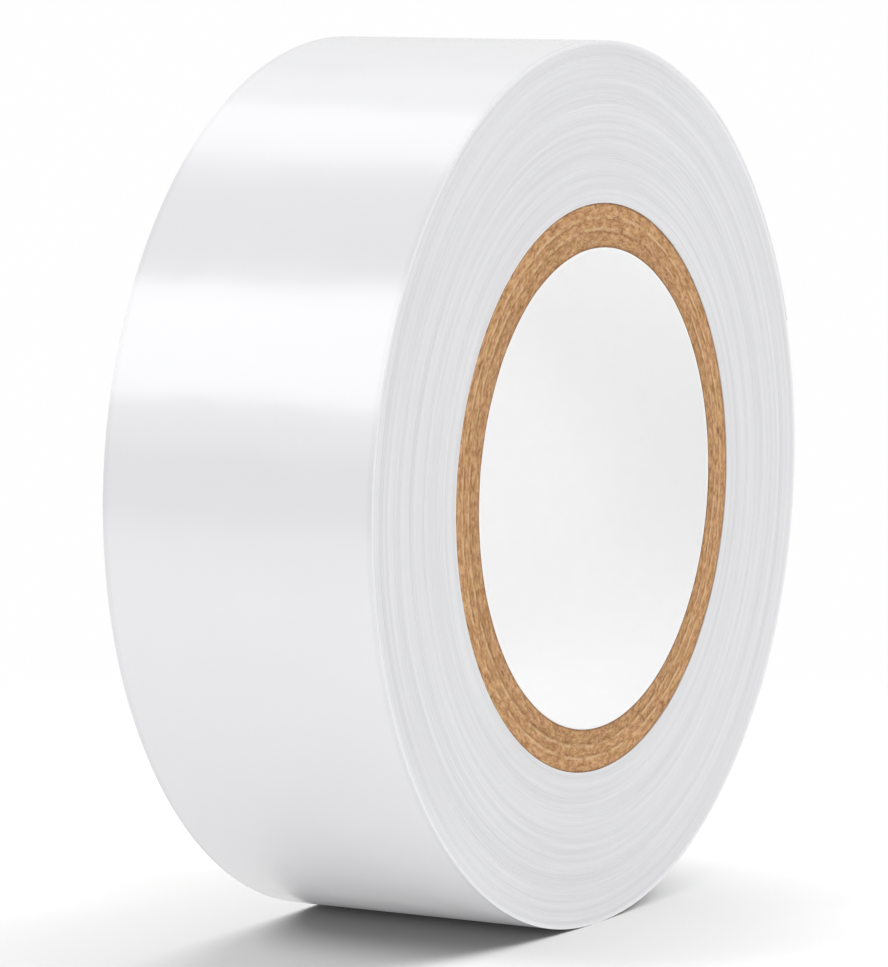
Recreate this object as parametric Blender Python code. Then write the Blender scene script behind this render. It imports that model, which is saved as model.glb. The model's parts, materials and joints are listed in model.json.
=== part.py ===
"""A roll of white electrical tape on a paper core, standing on its rim.

Metres, +Z up. The roll's axis runs along Y, and the origin is on the floor under the roll's middle.
Each piece is an outline round the axis, in the XZ plane, extruded across the width of the tape.
"""

import math

import bmesh
import bpy
from mathutils import Vector

# Driving dimensions: the strip and the paper tube, from the bore outwards
TAPE_WIDTH = 0.019
CORE_BORE = 0.0294
LINER_WALL = 0.0003
PLY_WALL = 0.00073
INNER_BUILD = 0.00665
STRIP_THICKNESS = 0.0004
TURN_GAP = 0.00042
SEAT_GAP = 0.0003
OUTER_TURNS = 4

# The foot is pressed flat where the roll stands, with a bend at each end, and the free end lies on the rim
FOOT_DEPTH = 0.0005
FOOT_BEND = 0.01
END_LENGTH = 0.0184

# Places and arcs round the axis, in degrees from +X towards +Z. The strip is wound towards lower angles.
# In each turn it climbs over the turn below, and at the end it laps over its own start up to the peel line.
PEEL_LINE = 55.0
LAP_ARC = 5.0
LEVEL_ARC = 5.0
CLIMB_ARC = 15.0

SEGMENTS = 72
FOOT_STEPS = 4
SHARP_ANGLE = math.radians(30)

# Finishes, as a colour and a roughness. The tube's plies are listed from the bore outwards.
LINER_FINISH = ((0.84, 0.84, 0.83), 0.7)
PLY_FINISHES = {
    "core_ply_inner": ((0.43, 0.22, 0.085), 0.85),
    "core_ply_middle": ((0.55, 0.31, 0.13), 0.85),
    "core_ply_outer": ((0.52, 0.28, 0.11), 0.85),
}
SIDE_FILM_FINISH = ((0.76, 0.77, 0.79), 0.45)
RIM_FILM_FINISH = ((0.83, 0.835, 0.85), 0.22)

# Radii, each from the piece inside it
LINER_RADIUS = CORE_BORE / 2 + LINER_WALL
PLY_PITCH = PLY_WALL + SEAT_GAP
TUBE_RADIUS = LINER_RADIUS + len(PLY_FINISHES) * PLY_PITCH
INNER_TURNS_BORE = TUBE_RADIUS + SEAT_GAP
INNER_TURNS_RADIUS = INNER_TURNS_BORE + INNER_BUILD
TURN_PITCH = STRIP_THICKNESS + TURN_GAP
FIRST_TURN_RADIUS = INNER_TURNS_RADIUS + SEAT_GAP + STRIP_THICKNESS
ROLL_RADIUS = FIRST_TURN_RADIUS + (OUTER_TURNS - 1) * TURN_PITCH
END_RADIUS = ROLL_RADIUS + TURN_PITCH
AXIS_HEIGHT = ROLL_RADIUS - FOOT_DEPTH

# The foot's bends run into the round rim this far to each side, and the flat lies between them
FOOT_ARC = math.acos(1 - FOOT_DEPTH / (ROLL_RADIUS - FOOT_BEND))
FLAT_HALF = (ROLL_RADIUS - FOOT_BEND) * math.sin(FOOT_ARC)


def material(name, finish):
    """A piece's own material."""
    colour, roughness = finish
    made = bpy.data.materials.new(name)
    made.use_nodes = True
    shader = made.node_tree.nodes["Principled BSDF"]
    shader.inputs["Base Color"].default_value = (*colour, 1)
    shader.inputs["Roughness"].default_value = roughness
    shader.inputs["Metallic"].default_value = 0
    return made


def on_circle(radius, degrees):
    """The point (x, z) at this radius and angle, measured from the roll's axis."""
    angle = math.radians(degrees)
    return Vector((radius * math.cos(angle), radius * math.sin(angle)))


def on_turn(radius, degrees):
    """As on_circle, but pressed at the foot, where each turn lies at the same distance from the next."""
    point = on_circle(radius, degrees)
    if point.y > -radius * math.cos(FOOT_ARC):
        return point
    height_over_floor = ROLL_RADIUS - radius
    bend = FOOT_BEND - height_over_floor
    past_flat = max(abs(point.x) - FLAT_HALF, 0)
    point.y = height_over_floor + bend - math.sqrt(bend**2 - past_flat**2) - AXIS_HEIGHT
    return point


def turn_angles(foot_steps=FOOT_STEPS):
    """The angles of a whole turn, from straight down. Each segment at the foot is cut into this many steps."""
    segment = 360 / SEGMENTS
    foot_segments = math.ceil(math.degrees(FOOT_ARC) / segment)
    angles = []
    for i in range(SEGMENTS):
        at_foot = i < foot_segments or i >= SEGMENTS - foot_segments
        steps = foot_steps if at_foot else 1
        angles += [segment * (i + step / steps) - 90 for step in range(steps)]
    return angles


def extruded_band(name, outer, inner, closed, finish):
    """The solid between an outer and an inner outline of as many points, as wide as the tape."""
    mesh = bpy.data.meshes.new(name)
    bm = bmesh.new()
    outer_row, inner_row = (
        [bm.verts.new((point.x, -TAPE_WIDTH / 2, point.y)) for point in outline] for outline in (outer, inner)
    )
    for i in range(0 if closed else 1, len(outer)):
        bm.faces.new((outer_row[i - 1], outer_row[i], inner_row[i], inner_row[i - 1]))
    grown = bmesh.ops.extrude_face_region(bm, geom=bm.faces[:], use_keep_orig=True)
    far_side = [item for item in grown["geom"] if isinstance(item, bmesh.types.BMVert)]
    bmesh.ops.translate(bm, verts=far_side, vec=(0, TAPE_WIDTH, 0))
    bmesh.ops.recalc_face_normals(bm, faces=bm.faces[:])
    bm.to_mesh(mesh)
    bm.free()
    mesh.shade_smooth()
    mesh.set_sharp_from_angle(angle=SHARP_ANGLE)
    mesh.materials.append(material(name, finish))
    piece = bpy.data.objects.new(name, mesh)
    bpy.context.scene.collection.objects.link(piece)
    return piece


def paper_tube(name, bore_radius, wall, finish):
    """One ply of the core, a plain round tube."""
    outer = [on_circle(bore_radius + wall, degrees) for degrees in turn_angles(foot_steps=1)]
    inner = [on_circle(bore_radius, degrees) for degrees in turn_angles(foot_steps=1)]
    return extruded_band(name, outer, inner, True, finish)


def inner_turns():
    """The inner turns as one ring, round inside and pressed flat outside at the foot."""
    outer = [on_turn(INNER_TURNS_RADIUS, degrees) for degrees in turn_angles()]
    inner = [on_circle(INNER_TURNS_BORE, degrees) for degrees in turn_angles()]
    return extruded_band("inner_turns", outer, inner, True, SIDE_FILM_FINISH)


def strip_radius(travel):
    """The outside of the wound strip after this many degrees: round, with one short climb in each turn."""
    turns, degrees = divmod(travel, 360)
    climb_from = 360 - LEVEL_ARC - CLIMB_ARC
    share = min(max((degrees - climb_from) / CLIMB_ARC, 0), 1)
    return FIRST_TURN_RADIUS + TURN_PITCH * (turns + share * share * (3 - 2 * share))


def strip_travels(start, whole_travel):
    """The degrees of travel where the wound strip has points: its two ends, and a turn's angles between."""
    travels = {0.0, whole_travel}
    for turn in range(OUTER_TURNS + 1):
        travels.update((start - degrees) % 360 + 360 * turn for degrees in turn_angles())
    return sorted(travel for travel in travels if travel <= whole_travel)


def least_gap(outer, inner):
    """The least distance from the strip's outside to the inside of its own later turns."""
    return min(
        (point - other).length
        for i, point in enumerate(outer)
        for other in inner[i + SEGMENTS // 2 :]
    )


def outer_turns():
    """The outer turns as one unbroken strip, from its start on the inner turns to the peel line."""
    start = PEEL_LINE + LAP_ARC
    travels = strip_travels(start, 360 * OUTER_TURNS + LAP_ARC)
    outer = [on_turn(strip_radius(travel), start - travel) for travel in travels]
    inner = [on_turn(strip_radius(travel) - STRIP_THICKNESS, start - travel) for travel in travels]
    print(f"outer_turns: least gap to itself {1000 * least_gap(outer, inner):.3f} mm")
    return extruded_band("outer_turns", outer, inner, False, RIM_FILM_FINISH)


def tape_end():
    """The free end, lying on the rim below the peel line. Its origin is on that line, at its outside."""
    hinge = on_circle(END_RADIUS, PEEL_LINE)
    start = PEEL_LINE - math.degrees(SEAT_GAP / END_RADIUS)
    arc = math.degrees(END_LENGTH / END_RADIUS)
    steps = math.ceil(arc * SEGMENTS / 360)
    angles = [start - arc * i / steps for i in range(steps + 1)]
    outer = [on_circle(END_RADIUS, degrees) - hinge for degrees in angles]
    inner = [on_circle(END_RADIUS - STRIP_THICKNESS, degrees) - hinge for degrees in angles]
    piece = extruded_band("tape_end", outer, inner, False, RIM_FILM_FINISH)
    piece.location = (hinge.x, 0, hinge.y)
    return piece


def main():
    for old in list(bpy.data.objects):
        bpy.data.objects.remove(old)

    pieces = [paper_tube("core_liner", CORE_BORE / 2, LINER_WALL, LINER_FINISH)]
    for ply, (name, finish) in enumerate(PLY_FINISHES.items()):
        ply_bore = LINER_RADIUS + SEAT_GAP + ply * PLY_PITCH
        pieces.append(paper_tube(name, ply_bore, PLY_WALL, finish))
    pieces.append(inner_turns())
    pieces.append(outer_turns())
    pieces.append(tape_end())

    roll_axis = bpy.data.objects.new("roll_axis", None)
    roll_axis.location = (0, 0, AXIS_HEIGHT)
    bpy.context.scene.collection.objects.link(roll_axis)
    for piece in pieces:
        piece.parent = roll_axis


main()
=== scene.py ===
"""A roll of white electrical tape on a kraft paper core, standing on its rim on a white floor.

Metres, +Z up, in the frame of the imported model. The roll's axis runs along Y, and the near side face looks
along -Y. The film is the one long strip that it is on the real roll: it winds about the core from the inside
out, and its free end peels off the back.
"""

import json
import math

import bpy
from mathutils import Matrix, Vector, noise


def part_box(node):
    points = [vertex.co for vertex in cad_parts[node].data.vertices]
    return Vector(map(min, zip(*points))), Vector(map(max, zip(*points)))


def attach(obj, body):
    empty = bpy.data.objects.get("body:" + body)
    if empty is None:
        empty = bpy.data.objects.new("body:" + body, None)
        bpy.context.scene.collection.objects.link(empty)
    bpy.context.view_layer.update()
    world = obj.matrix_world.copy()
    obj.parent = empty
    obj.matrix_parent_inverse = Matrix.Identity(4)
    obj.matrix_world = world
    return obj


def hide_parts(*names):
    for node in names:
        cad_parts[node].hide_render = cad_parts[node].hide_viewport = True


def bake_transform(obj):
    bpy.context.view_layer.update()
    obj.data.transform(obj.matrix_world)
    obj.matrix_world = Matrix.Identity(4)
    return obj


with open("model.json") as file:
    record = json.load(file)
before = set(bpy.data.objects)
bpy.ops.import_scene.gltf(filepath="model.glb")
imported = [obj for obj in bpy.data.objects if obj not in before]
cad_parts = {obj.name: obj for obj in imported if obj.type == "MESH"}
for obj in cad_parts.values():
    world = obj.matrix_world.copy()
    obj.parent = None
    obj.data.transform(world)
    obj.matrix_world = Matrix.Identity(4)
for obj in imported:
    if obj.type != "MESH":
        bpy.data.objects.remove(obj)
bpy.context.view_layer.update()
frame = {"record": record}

MM = 0.001

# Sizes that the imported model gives
liner_low, liner_high = (Vector(corner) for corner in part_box("core_liner"))
rim_low, rim_high = (Vector(corner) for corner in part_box("outer_turns"))
HALF_WIDTH = rim_high.y
ROLL_RADIUS = (rim_high.x - rim_low.x) / 2
hinge = Vector(frame["record"]["behaviour"]["joints"][0]["pos_m"])
PEEL_LINE = math.atan2(hinge.z - (liner_low.z + liner_high.z) / 2, hinge.x)

# The paper tube, as radii from the bore outwards
LINER_BORE = 15.17 * MM
KRAFT_BORE = 15.35 * MM
FIRST_PLY_LINE = 16.45 * MM
SECOND_PLY_LINE = 17.22 * MM
KRAFT_RADIUS = 18.12 * MM
RING_STEPS = 240
# The cut ends of its plies and its liner: how far inside the film's side face they lie, how much of each
# corner is rounded off, and how uneven they are
PLY_ENDS = {"recess": 0.05 * MM, "corner": 0.02 * MM, "waviness": 0.03 * MM}
LINER_ENDS = {"recess": 0.04 * MM, "corner": 0.05 * MM, "waviness": 0.01 * MM}
WAVES_PER_MM = 0.5
# The bore lies a little off the middle of the tube, across and up, with all that lies within this radius
BORE_SHIFT = Vector((0.2, -0.06)) * MM
SHIFTED_RADIUS = KRAFT_BORE + 0.1 * MM

# The film strip, wound from the tube outwards towards lower angles, from the line where its free end peels
# off. The rim's radius is measured to the outside of the free end, one pitch past the last turn.
FILM_TURNS = 65
FILM_STEPS = 144
FILM_SPACE = 0.001 * MM
FILM_EDGE_CUT = 0.0035 * MM
PAST_MODEL_RIM = 0.2 * MM
RIM_RADIUS = ROLL_RADIUS + PAST_MODEL_RIM
FILM_PITCH = (RIM_RADIUS - KRAFT_RADIUS) / (FILM_TURNS + 1)
FILM_THICKNESS = FILM_PITCH - FILM_SPACE
# The strip's end caps are joined to its sides within this distance, and no other points are joined
CAP_MERGE = 0.001 * MM

# The winding runs a little off the middle of its core, across and up, and its foot is pressed a little flat.
# The model's foot is pressed more, so the axis of what is seen lies higher.
WINDING_DRIFT = Vector((0.07, 0.14)) * MM
FOOT_DEPTH = 0.06 * MM
FOOT_SPREAD = math.radians(9)
AXIS_HEIGHT = RIM_RADIUS - FILM_PITCH - WINDING_DRIFT.y - FOOT_DEPTH
ROLL_MIDDLE = Vector((0, 0, AXIS_HEIGHT))

# The share of each turn where the strip climbs over the end of the turn below. In the first turn the
# underside stays low there, slid along by this factor so that it reaches the strip's start.
CLIMB_SHARE = 0.03
FIRST_LAP_SLIDE = 1.27
# The strip starts this share of a turn after the peel line, so that its own first lap clears it
STRIP_START = 0.0001

# The free end's arc and its steps, and the arc and height over which its tip lifts a little
FREE_END_ARC = math.radians(37)
FREE_END_STEPS = 48
TIP_LIFT_ARC = math.radians(5)
TIP_LIFT = 0.02 * MM

# The strip wanders sideways as it winds: periods in turns, depths and phases
SIDE_WANDER = ((4.7, 0.007 * MM, 0.4), (11.3, 0.014 * MM, 2.1), (1.93, 0.0025 * MM, 4.4))

# Edges sharper than this stay sharp
FILM_SMOOTH_ANGLE = math.radians(30)
PAPER_SMOOTH_ANGLE = math.radians(40)

# The kraft plies from the bore outwards: the node that each replaces, its bore, its radius and its tone
PLIES = {
    "kraft_ply_inner": ("core_ply_inner", KRAFT_BORE, FIRST_PLY_LINE, 0.93),
    "kraft_ply_middle": ("core_ply_middle", FIRST_PLY_LINE, SECOND_PLY_LINE, 1.0),
    "kraft_ply_outer": ("core_ply_outer", SECOND_PLY_LINE, KRAFT_RADIUS - FILM_SPACE, 1.02),
}

# Colours, as 8-bit screen values
SCREEN_GAMMA = 2.2
RIM_WHITE = (231, 231, 233)
EDGE_WHITE = (224, 224, 226)
LINER_WHITE = (245, 245, 245)
KRAFT_DARKS = ((160, 112, 76), (152, 106, 66))
KRAFT_PALES = ((224, 178, 134), (218, 174, 124))
SEAM_BROWN = (140, 96, 58)
# The brown of the painted shade along the kraft's cut edges
TORN_BROWN = (226, 190, 148)
EDGE_SHADE_BROWN = (122, 88, 62)
SPECK_BROWN = (124, 84, 48)

# The film's gloss. Its rim has painted shade up to these distances from the slit edges. Its slit edges have a
# painted highlight up to these distances from the rim, with a ragged limit.
FILM_IOR = 1.53
RIM_EDGE_SHADE = (0.2 * MM, 0.45 * MM)
EDGE_HIGHLIGHT_BY_RIM = (0.32 * MM, 0.5 * MM)
EDGE_HIGHLIGHT_RAGGED = 0.3 * MM

# The kraft board's lines: a dark seam and a pale torn line at each ply line, each with its rise and its fall
# as distances past that line, and painted shade along the cut edge by the bore and by the film. All of them
# are ragged.
PLY_SEAM = ((-0.3 * MM, -0.17 * MM), (-0.14 * MM, -0.04 * MM))
TORN_LINE = ((-0.12 * MM, 0.0), (0.02 * MM, 0.18 * MM))
PLY_LINE_RAGGED = 0.3 * MM
EDGE_SHADE_REACH = (0.02 * MM, 0.16 * MM)
EDGE_SHADE_RAGGED = 0.08 * MM

# The photograph's camera, in its pixels and in degrees
PHOTO_WIDTH, PHOTO_HEIGHT = 888, 967
SENSOR = 36.0
FOCAL_PIXELS = 5560.9
CAMERA_DISTANCE = 358.0554 * MM
CAMERA_AZIMUTH = math.radians(-60.144)
CAMERA_ELEVATION = math.radians(6.107)
ROLL_CENTRE_PIXEL = (467.2, 480.3)

# The studio: the white that the camera sees, the even light and the lamps.
# A lamp has a direction from the roll, a distance, a width and height, and a radiance. The floor has lamps
# of its own, which give the roll its shadow and leave the roll itself alone.
BACKGROUND = (0.995, 0.995, 0.995, 1)
EVEN_LIGHT = 0.77
LAMPS = {
    "front_softbox": ((0.25, -0.45, 0.86), 0.7, (0.5, 0.5), 1.87),
    "back_softbox": ((0.18, 0.50, 0.85), 0.6, (0.18, 0.24), 0.97),
    "left_softbox": ((-0.66, 0.50, 0.538), 0.6, (0.22, 0.295), 2.74),
}
FLOOR_LAMPS = {
    "right_floor_lamp": ((0.50, 0.00, 0.87), 0.7, (0.85, 0.85), 6.2),
    "front_floor_lamp": ((0.55, -0.55, 0.63), 0.7, (0.35, 0.35), 26.8),
    "back_floor_lamp": ((0.00, 0.50, 0.87), 0.7, (0.85, 0.85), 1.5),
    "left_floor_lamp": ((-0.50, 0.50, 0.70), 0.7, (0.35, 0.35), 23.5),
}
# The floor, and how far from the middle it runs into the background
FLOOR_RADIUS = 0.7
FLOOR_STEPS = 96
FLOOR_TONE = 0.25
FLOOR_FADE = (0.05, 0.11)
# The share of plain white in the light that the floor throws back at the roll. It sinks to none under the
# rim, between these distances from the line where the roll stands. By the side faces, from this far inside
# them, it rises again this many times as fast.
FLOOR_BOUNCE = 0.68
CONTACT_SHADE = (1 * MM, 10 * MM)
CONTACT_SHADE_SIDE = 1.5 * MM
CONTACT_SHADE_FALL = 4
# Cards that only the film's gloss sees, each with a middle, a direction that it faces, a width and height,
# and a tone. The dark one gives the rim its duller belt. The grey one behind keeps the top of the rim from
# running into the white. The flag hangs between two softboxes and parts their bright bands on the rim.
TO_CAMERA = (math.sin(CAMERA_AZIMUTH), -math.cos(CAMERA_AZIMUTH), 0.0)
CARDS = {
    "dark_card": ((-0.20, 0.105, 0.033), TO_CAMERA, (0.4, 0.066), 0.05),
    "grey_card": ((0.26, 0.149, 0.15), TO_CAMERA, (0.5, 0.3), 0.72),
    "dim_flag": ((-0.158, 0.272, 0.479), (0.288, -0.495, -0.82), (0.23, 0.23), 0.3),
}


class Socket:
    """A node's output. Arithmetic on it adds Math nodes to the same tree."""

    def __init__(self, nodes, output):
        self.nodes, self.output = nodes, output

    def math(self, operation, first, second=0.0):
        return self.nodes.add("ShaderNodeMath", {"operation": operation}, {0: first, 1: second})

    def __add__(self, other):
        return self.math("ADD", self, other)

    def __radd__(self, other):
        return self.math("ADD", other, self)

    def __sub__(self, other):
        return self.math("SUBTRACT", self, other)

    def __rsub__(self, other):
        return self.math("SUBTRACT", other, self)

    def __mul__(self, other):
        return self.math("MULTIPLY", self, other)

    def __rmul__(self, other):
        return self.math("MULTIPLY", other, self)

    def __truediv__(self, other):
        return self.math("DIVIDE", self, other)

    def __pow__(self, exponent):
        return self.math("POWER", self, exponent)

    def __abs__(self):
        return self.math("ABSOLUTE", self)

    def smaller(self, other):
        return self.math("MINIMUM", self, other)

    def larger(self, other):
        return self.math("MAXIMUM", self, other)


class Nodes:
    """The node tree of a material or of the world."""

    def __init__(self, tree):
        self.tree = tree

    def add(self, kind, settings=None, sockets=None, output=0):
        """A node of this kind, with its settings, then the values or links of its sockets."""
        node = self.tree.nodes.new(kind)
        for name, value in (settings or {}).items():
            setattr(node, name, value)
        for name, value in (sockets or {}).items():
            if isinstance(value, Socket):
                self.tree.links.new(value.output, node.inputs[name])
            else:
                node.inputs[name].default_value = value
        return Socket(self, node.outputs[output])

    def place(self):
        """Object coordinates, measured from the middle of the roll."""
        place = self.add("ShaderNodeTexCoord", output="Object")
        settings = {"operation": "SUBTRACT"}
        return self.add("ShaderNodeVectorMath", settings, {0: place, 1: ROLL_MIDDLE})

    def parts(self, vector):
        return [self.add("ShaderNodeSeparateXYZ", sockets={0: vector}, output=axis) for axis in range(3)]

    def vector(self, x, y, z):
        return self.add("ShaderNodeCombineXYZ", sockets={0: x, 1: y, 2: z})

    def polar(self, across=0.0, up=0.0):
        """The distance from the roll's axis, which may be shifted, and the two parts of the direction out."""
        x, _, z = self.parts(self.place())
        x, z = x - across, z - up
        radius = (x * x + z * z) ** 0.5
        return radius, x / radius, z / radius

    def noise(self, vector, scale, detail, roughness=0.5):
        sockets = {"Vector": vector, "Scale": scale, "Detail": detail, "Roughness": roughness}
        return self.add("ShaderNodeTexNoise", {"noise_dimensions": "3D"}, sockets)

    def ring_noise(self, polar, outwards, around, detail, roughness=0.5, offset=0.0):
        """Noise in rings about the axis, from its scales per millimetre outwards and per radian around."""
        radius, out_x, out_z = polar
        vector = self.vector(radius / MM * outwards, out_x * around + offset, out_z * around)
        return self.noise(vector, 1.0, detail, roughness)

    def ease(self, value, low, high):
        """A smooth step of a value between two limits."""
        sockets = {"Value": value, "From Min": low, "From Max": high, "To Min": 0.0, "To Max": 1.0}
        return self.add("ShaderNodeMapRange", {"interpolation_type": "SMOOTHSTEP"}, sockets)

    def band(self, value, rise, fall):
        """A smooth step up and a smooth step down again."""
        return self.ease(value, *rise) - self.ease(value, *fall)

    def colour_mix(self, share, first, second):
        """One colour run into another. The Mix node keeps its colours at sockets 6 and 7."""
        settings = {"data_type": "RGBA", "clamp_factor": True}
        return self.add("ShaderNodeMix", settings, {0: share, 6: first, 7: second}, output=2)

    def shade(self, base, factor):
        """A colour made lighter or darker by a factor."""
        base = base if isinstance(base, Socket) else base[:3]
        return self.add("ShaderNodeVectorMath", {"operation": "SCALE"}, {0: base, "Scale": factor})

    def bump(self, height, distance):
        return self.add("ShaderNodeBump", sockets={"Height": height, "Distance": distance, "Strength": 1.0})


class Finish(Nodes):
    """A material of one Principled shader."""

    def __init__(self, name, **constants):
        self.material = bpy.data.materials.new(name)
        self.material.use_nodes = True
        super().__init__(self.material.node_tree)
        self.shader = self.tree.nodes["Principled BSDF"]
        for socket, value in constants.items():
            self.shader.inputs[socket.replace("_", " ")].default_value = value

    def feed(self, socket, value):
        self.tree.links.new(value.output, self.shader.inputs[socket])


def colour(screen):
    """A colour from its 8-bit screen values, made linear for the shader."""
    return (*((value / 255) ** SCREEN_GAMMA for value in screen), 1.0)


def grey(tone):
    return tone, tone, tone, 1


# Finishes


def rim_film():
    """Glossy white film, with the faint waves and smudges of a tight winding, and painted shade by its slit
    edges.
    """
    finish = Finish("rim_film", IOR=FILM_IOR, Specular_IOR_Level=0.7)
    place = finish.place()
    _, along, _ = finish.parts(place)
    # Painted shade: the rim's base colour is darker along its slit edges
    painted_rim_edge_shade = 1.0 - finish.ease(HALF_WIDTH - abs(along), *RIM_EDGE_SHADE)
    smudges = finish.noise(place, 160, detail=3)
    tone = 0.985 + smudges * 0.03 - painted_rim_edge_shade * 0.05
    finish.feed("Base Color", finish.shade(colour(RIM_WHITE), tone))
    finish.feed("Roughness", 0.14 + smudges * 0.08)
    waves = finish.noise(place, 140, detail=1)
    grain = finish.noise(place, 2600, detail=2)
    finish.feed("Normal", finish.bump(waves + grain * 0.02, 0.1 * MM))
    return finish.material


def cut_film_edges():
    """The slit edges of the turns: duller than the rim, with rings of painted shade where the strip lies in
    or out.

    The outermost turns carry a painted highlight along the rim."""
    finish = Finish("cut_film_edges", IOR=FILM_IOR, Specular_IOR_Level=0.4)
    polar = finish.polar()
    wide = finish.ring_noise(polar, 1.1, 1.0, detail=2)
    fine = finish.ring_noise(polar, 3.8, 1.5, detail=3)
    # Rings of painted shade where turns lie in or out, which also give the edges their bumps
    ring_shade_and_bumps = wide * 0.55 + fine
    # Painted highlight: the outermost turns' edges are lighter by the rim, with a ragged limit
    from_rim = RIM_RADIUS - finish.polar(*WINDING_DRIFT)[0]
    painted_edge_highlight = 1.0 - finish.ease(from_rim + (fine - 0.5) * EDGE_HIGHLIGHT_RAGGED, *EDGE_HIGHLIGHT_BY_RIM)
    tone = 0.803 + ring_shade_and_bumps * 0.22 + painted_edge_highlight * 0.12
    finish.feed("Base Color", finish.shade(colour(EDGE_WHITE), tone))
    finish.feed("Roughness", 0.42 + fine * 0.2)
    finish.feed("Normal", finish.bump(ring_shade_and_bumps, 0.05 * MM))
    return finish.material


def kraft(name, tone):
    """Raw kraft board: matted fibres in mottled browns, torn pale lines at the plies and painted shade at the
    cut edges.
    """
    finish = Finish(name, Specular_IOR_Level=0.2)
    polar = finish.polar()
    out = polar[0]
    mottle = finish.ease(finish.ring_noise(polar, 1.6, 16, detail=2), 0.36, 0.64)
    mats = finish.ring_noise(polar, 3.6, 26, detail=3, roughness=0.6)
    fibres = finish.ring_noise(polar, 12, 60, detail=2, roughness=0.6)
    matted = finish.ease(mats * 0.65 + fibres * 0.35, 0.3, 0.7)
    dark = finish.colour_mix(mottle, *(colour(brown) for brown in KRAFT_DARKS))
    pale = finish.colour_mix(mottle, *(colour(brown) for brown in KRAFT_PALES))
    board = finish.colour_mix(matted, dark, pale)

    torn = finish.ring_noise(polar, 1.5, 26, detail=3, roughness=0.6)
    broken = finish.ease(finish.ring_noise(polar, 1.0, 13, detail=2, offset=5.0), 0.34, 0.6)
    for line in (FIRST_PLY_LINE, SECOND_PLY_LINE):
        past_line = out - line + (torn - 0.5) * PLY_LINE_RAGGED
        seam = finish.band(past_line, *PLY_SEAM)
        board = finish.colour_mix(seam * broken * 0.5, board, colour(SEAM_BROWN))
        torn_line = finish.band(past_line, *TORN_LINE)
        board = finish.colour_mix(torn_line * broken * 0.75, board, colour(TORN_BROWN))

    # Painted shade: the board is darker along its edges by the bore and by the film
    from_bore = finish.polar(*BORE_SHIFT)[0] - KRAFT_BORE
    from_edge = from_bore.smaller(KRAFT_RADIUS - out) + (torn - 0.5) * EDGE_SHADE_RAGGED
    painted_cut_edge_shade = 1.0 - finish.ease(from_edge, *EDGE_SHADE_REACH)
    board = finish.colour_mix(painted_cut_edge_shade * 0.6, board, colour(EDGE_SHADE_BROWN))
    specks = finish.ease(finish.noise(finish.place(), 1500, detail=2), 0.62, 0.74)
    board = finish.colour_mix(specks * 0.5, board, colour(SPECK_BROWN))
    finish.feed("Base Color", finish.shade(board, tone))
    finish.feed("Roughness", 0.78 + matted * 0.18)
    finish.feed("Normal", finish.bump(matted + fibres * 0.5, 0.05 * MM))
    return finish.material


def liner_paper():
    """Smooth white paper on the wall of the bore."""
    finish = Finish("liner_paper", Specular_IOR_Level=0.3)
    pulp = finish.noise(finish.place(), 900, detail=4)
    finish.feed("Base Color", finish.shade(colour(LINER_WHITE), 0.98 + pulp * 0.03))
    finish.feed("Roughness", 0.55 + pulp * 0.15)
    finish.feed("Normal", finish.bump(pulp, 0.02 * MM))
    return finish.material


# Pieces


def deselect_all():
    bpy.ops.object.select_all(action="DESELECT")


def named(name, material):
    """The active object with its name, its material and its place in its mesh."""
    piece = bpy.context.object
    bpy.ops.object.transform_apply(location=True, rotation=True, scale=True)
    piece.name = piece.data.name = name
    piece.data.materials.clear()
    piece.data.materials.append(material)
    return piece


def film_rise(travel):
    """How many pitches the strip has climbed after this many turns."""
    turn, share = divmod(travel, 1)
    return turn + max(0, share - (1 - CLIMB_SHARE)) / CLIMB_SHARE


def film_point(travel, lift):
    """The middle of the strip after this many turns, in millimetres: across, up, and to the near side."""
    angle = PEEL_LINE - math.tau * travel
    radius = KRAFT_RADIUS + FILM_PITCH * (film_rise(travel) + 0.5) + lift
    aside = sum(depth * math.sin(math.tau * travel / period + phase) for period, depth, phase in SIDE_WANDER)
    return radius * math.cos(angle) / MM, radius * math.sin(angle) / MM, aside / MM


def film_section():
    """The strip's cross-section, a flat bar with its four corners cut, as a curve in millimetres."""
    half_thick, half_wide, cut = FILM_THICKNESS / 2 / MM, HALF_WIDTH / MM, FILM_EDGE_CUT / MM
    corners = [(half_thick, half_wide - cut), (half_thick - cut, half_wide)]
    corners += [(-x, y) for x, y in reversed(corners)]
    corners += [(x, -y) for x, y in reversed(corners)]
    section = bpy.data.curves.new("film_section", "CURVE")
    spline = section.splines.new("POLY")
    spline.points.add(len(corners) - 1)
    for point, (x, y) in zip(spline.points, corners):
        point.co = (x, y, 0, 1)
    spline.use_cyclic_u = True
    outline = bpy.data.objects.new("film_section", section)
    bpy.context.scene.collection.objects.link(outline)
    return outline


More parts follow.
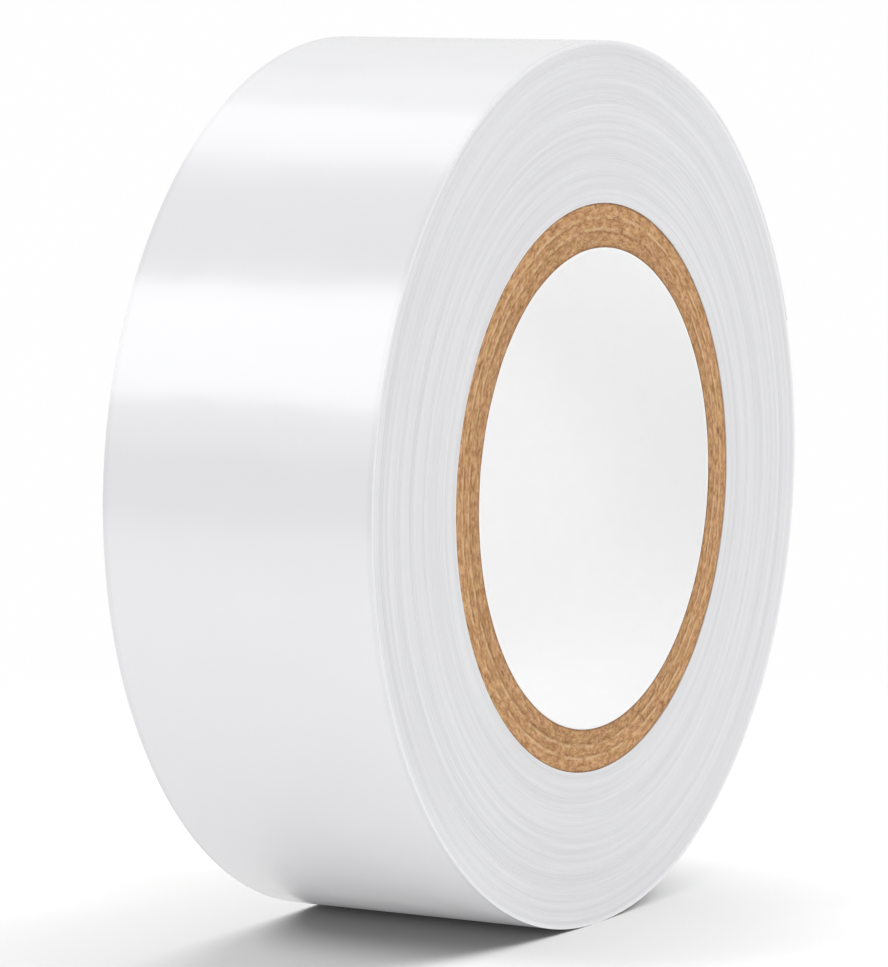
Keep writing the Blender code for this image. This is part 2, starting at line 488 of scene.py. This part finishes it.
def film_strip(name, travels, lifts, rim, edges):
    """A stretch of the strip, swept along its winding. Its faces and its cut edges have their own finish."""
    deselect_all()
    section = film_section()
    path = bpy.data.curves.new(name, "CURVE")
    path.dimensions = "3D"
    path.twist_mode = "Z_UP"
    path.bevel_mode = "OBJECT"
    path.bevel_object = section
    path.use_fill_caps = True
    spline = path.splines.new("POLY")
    spline.points.add(len(travels) - 1)
    for point, travel, lift in zip(spline.points, travels, lifts):
        point.co = (*film_point(travel, lift), 1)
    strip = bpy.data.objects.new(name, path)
    bpy.context.scene.collection.objects.link(strip)
    strip.location = ROLL_MIDDLE
    strip.rotation_euler = (math.pi / 2, 0, 0)
    strip.scale = (MM, MM, MM)
    strip.select_set(True)
    bpy.context.view_layer.objects.active = strip
    bpy.ops.object.convert(target="MESH")
    strip = named(name, rim)
    strip.data.materials.append(edges)
    bpy.data.objects.remove(section)
    bpy.ops.object.mode_set(mode="EDIT")
    bpy.ops.mesh.select_all(action="DESELECT")
    bpy.ops.mesh.select_non_manifold()
    bpy.ops.mesh.remove_doubles(threshold=CAP_MERGE)
    bpy.ops.mesh.select_all(action="SELECT")
    bpy.ops.mesh.normals_make_consistent(inside=False)
    bpy.ops.object.mode_set(mode="OBJECT")
    for face in strip.data.polygons:
        looks_along_axis = abs(face.normal.y) > 0.5
        face.material_index = 1 if looks_along_axis else 0
    bpy.ops.object.shade_smooth_by_angle(angle=FILM_SMOOTH_ANGLE)
    return strip


def fill_first_lap(winding):
    """Keeps the first turn's underside on the core where it climbs over the strip's start, without a gap."""
    climb_from, climb_to = 1 - CLIMB_SHARE, 1 - 0.5 / FILM_STEPS
    for vertex in winding.data.vertices:
        across, up = vertex.co.x, vertex.co.z - AXIS_HEIGHT
        travel = (PEEL_LINE - math.atan2(up, across)) / math.tau % 1
        risen = FILM_PITCH * film_rise(travel)
        radius = math.hypot(across, up)
        if climb_from < travel < climb_to and radius < KRAFT_RADIUS + risen + FILM_PITCH / 2:
            slid = climb_from + (travel - climb_from) * FIRST_LAP_SLIDE
            angle = PEEL_LINE - math.tau * slid
            vertex.co.x = (radius - risen) * math.cos(angle)
            vertex.co.z = (radius - risen) * math.sin(angle) + AXIS_HEIGHT


def settle(strip):
    """Moves a strip off the middle of its core, more the further out it lies, and presses its foot flat."""
    for vertex in strip.data.vertices:
        across, up = vertex.co.x, vertex.co.z - AXIS_HEIGHT
        share_of_build = (math.hypot(across, up) - KRAFT_RADIUS) / (RIM_RADIUS - KRAFT_RADIUS)
        from_foot = math.remainder(math.atan2(up, across) + math.pi / 2, math.tau)
        press = FOOT_DEPTH * math.exp(-((from_foot / FOOT_SPREAD) ** 2))
        vertex.co.x += WINDING_DRIFT.x * share_of_build
        vertex.co.z += (WINDING_DRIFT.y + press) * share_of_build


def tape_winding(rim, edges):
    """All the turns from the core to the peel line."""
    steps = FILM_TURNS * FILM_STEPS
    travels = [STRIP_START] + [i / FILM_STEPS for i in range(1, steps + 1)]
    winding = film_strip("tape_winding", travels, [0.0] * len(travels), rim, edges)
    fill_first_lap(winding)
    settle(winding)
    return winding


def tape_free_end(rim, edges):
    """The free end, which lies on the last turn. Its tip has lifted a little."""
    arcs = [FREE_END_ARC * i / FREE_END_STEPS for i in range(FREE_END_STEPS + 1)]
    lifts = [TIP_LIFT * max(0, (arc - FREE_END_ARC) / TIP_LIFT_ARC + 1) ** 2 for arc in arcs]
    travels = [FILM_TURNS + arc / math.tau for arc in arcs]
    free_end = film_strip("tape_free_end", travels, lifts, rim, edges)
    settle(free_end)
    return free_end


def paper_ring(name, bore, radius, material, recess, corner, waviness):
    """A paper tube, spun from its section, with uneven cut ends. What lies by the bore is shifted."""
    deselect_all()
    middle = ((bore + radius) / 2, 0, AXIS_HEIGHT)
    wall, width = radius - bore, 2 * (HALF_WIDTH - recess)
    bpy.ops.mesh.primitive_plane_add(size=1, location=middle)
    bpy.ops.object.mode_set(mode="EDIT")
    bpy.ops.transform.resize(value=(wall, width, 1), center_override=middle)
    bpy.ops.mesh.bevel(offset=corner, segments=2, affect="VERTICES")
    bpy.ops.mesh.delete(type="ONLY_FACE")
    bpy.ops.mesh.select_all(action="SELECT")
    bpy.ops.mesh.spin(steps=RING_STEPS, angle=math.tau, center=ROLL_MIDDLE, axis=(0, 1, 0))
    bpy.ops.mesh.select_all(action="SELECT")
    bpy.ops.mesh.normals_make_consistent(inside=False)
    bpy.ops.object.mode_set(mode="OBJECT")
    ring = named(name, material)
    for vertex in ring.data.vertices:
        place = vertex.co.copy()
        vertex.co.y += waviness * noise.noise(place / MM * WAVES_PER_MM)
        if math.hypot(place.x, place.z - AXIS_HEIGHT) < SHIFTED_RADIUS:
            vertex.co += Vector((BORE_SHIFT.x, 0, BORE_SHIFT.y))
    bpy.ops.object.shade_smooth_by_angle(angle=PAPER_SMOOTH_ANGLE)
    return ring


# Stage


def photo_camera():
    """The photograph's camera, from its place round the roll and the pixel where the roll's middle lies."""
    azimuth, elevation = CAMERA_AZIMUTH, CAMERA_ELEVATION
    back = Vector((
        math.sin(azimuth) * math.cos(elevation),
        -math.cos(azimuth) * math.cos(elevation),
        math.sin(elevation),
    ))
    right = Vector((math.cos(azimuth), math.sin(azimuth), 0))
    up = back.cross(right)
    pixel = CAMERA_DISTANCE / FOCAL_PIXELS
    aside = (ROLL_CENTRE_PIXEL[0] - PHOTO_WIDTH / 2) * pixel
    above = (PHOTO_HEIGHT / 2 - ROLL_CENTRE_PIXEL[1]) * pixel
    eye = ROLL_MIDDLE - right * aside - up * above + back * CAMERA_DISTANCE
    lens = bpy.data.cameras.new("photo_camera")
    lens.sensor_width = SENSOR
    lens.lens = FOCAL_PIXELS * SENSOR / max(PHOTO_WIDTH, PHOTO_HEIGHT)
    camera = bpy.data.objects.new("photo_camera", lens)
    camera.matrix_world = Matrix.Translation(eye) @ Matrix((right, up, back)).transposed().to_4x4()
    bpy.context.scene.collection.objects.link(camera)
    bpy.context.scene.camera = camera


def softbox(name, direction, distance, size, radiance):
    """A rectangular studio light that faces the roll."""
    direction = Vector(direction).normalized()
    light = bpy.data.lights.new(name, "AREA")
    light.shape = "RECTANGLE"
    light.size, light.size_y = size
    light.energy = radiance * math.pi * size[0] * size[1]
    lamp = bpy.data.objects.new(name, light)
    lamp.location = ROLL_MIDDLE + direction * distance
    lamp.rotation_euler = direction.to_track_quat("Z", "Y").to_euler()
    bpy.context.scene.collection.objects.link(lamp)
    return lamp


def background_rays(nodes):
    """1 for the rays that see the plain white background: from the camera, off a gloss or through glass."""
    kinds = ("Is Camera Ray", "Is Glossy Ray", "Is Transmission Ray")
    return sum(nodes.add("ShaderNodeLightPath", output=kind) for kind in kinds)


def white_floor():
    """A white floor that keeps the roll's shadow, and runs into the white background further out.

    Light that leaves the roll for the floor meets a share of plain white there, except by the foot."""
    deselect_all()
    bpy.ops.mesh.primitive_circle_add(vertices=FLOOR_STEPS, radius=FLOOR_RADIUS, fill_type="NGON")
    finish = Finish("white_floor", Base_Color=grey(FLOOR_TONE), Specular_IOR_Level=0.1, Roughness=0.9)
    x, y, _ = finish.parts(finish.add("ShaderNodeTexCoord", output="Object"))
    out = (x * x + y * y) ** 0.5
    white = finish.add("ShaderNodeEmission", sockets={"Color": BACKGROUND, "Strength": 1.0})
    bounced = finish.add("ShaderNodeLightPath", output="Is Diffuse Ray")
    past_side = abs(y) - (HALF_WIDTH - CONTACT_SHADE_SIDE)
    from_contact = (past_side * CONTACT_SHADE_FALL).larger(abs(x))
    unshaded = finish.ease(from_contact, *CONTACT_SHADE)
    share = finish.ease(out, *FLOOR_FADE) * background_rays(finish) + bounced * unshaded * FLOOR_BOUNCE
    board = Socket(finish, finish.shader.outputs[0])
    mixed = finish.add("ShaderNodeMixShader", sockets={0: share, 1: board, 2: white})
    finish.tree.links.new(mixed.output, finish.tree.nodes["Material Output"].inputs["Surface"])
    floor = named("white_floor", finish.material)
    return floor


def gloss_card(name, middle, faces, size, tone):
    """A card by the roll that only the gloss of the film sees."""
    deselect_all()
    turn = Vector(faces).to_track_quat("Z", "Y").to_euler()
    bpy.ops.mesh.primitive_plane_add(size=1, location=middle, rotation=turn)
    bpy.context.object.scale = (*size, 1)
    finish = Finish(name, Base_Color=grey(tone), Roughness=0.9)
    card = named(name, finish.material)
    card.visible_camera = card.visible_diffuse = card.visible_shadow = card.visible_transmission = False


def studio_world():
    """Even light from all round, and a white background for what the camera sees."""
    world = bpy.data.worlds.new("studio")
    bpy.context.scene.world = world
    world.use_nodes = True
    nodes = Nodes(world.node_tree)
    even = nodes.add("ShaderNodeBackground", sockets={"Color": (1, 1, 1, 1), "Strength": EVEN_LIGHT})
    white = nodes.add("ShaderNodeBackground", sockets={"Color": BACKGROUND, "Strength": 1.0})
    mixed = nodes.add("ShaderNodeMixShader", sockets={0: background_rays(nodes), 1: even, 2: white})
    nodes.tree.links.new(mixed.output, nodes.tree.nodes["World Output"].inputs["Surface"])


# The scene


def studio():
    """The camera, the background, the floor, the cards and the lamps."""
    bpy.context.scene.view_settings.view_transform = "Standard"
    photo_camera()
    studio_world()
    floor = white_floor()
    for name, card in CARDS.items():
        gloss_card(name, *card)
    for name, lamp in LAMPS.items():
        softbox(name, *lamp)
    floor_alone = bpy.data.collections.new("floor_alone")
    floor_alone.objects.link(floor)
    for name, lamp in FLOOR_LAMPS.items():
        softbox(name, *lamp).light_linking.receiver_collection = floor_alone


def film():
    """The wound strip, and its free end, which runs on from the peel line."""
    rim, edges = rim_film(), cut_film_edges()
    winding = tape_winding(rim, edges)
    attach(winding, "roll")
    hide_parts("inner_turns", "outer_turns")

    free_end = tape_free_end(rim, edges)
    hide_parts("tape_end")
    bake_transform(free_end)


def core():
    """The paper tube's plies and the liner of its bore."""
    for name, (node, bore, radius, tone) in PLIES.items():
        ply = paper_ring(name, bore, radius, kraft(name, tone), **PLY_ENDS)
        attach(ply, "roll")
        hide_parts(node)

    liner = paper_ring("bore_liner", LINER_BORE, KRAFT_BORE, liner_paper(), **LINER_ENDS)
    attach(liner, "roll")
    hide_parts("core_liner")


def main():
    studio()
    film()
    core()


main()
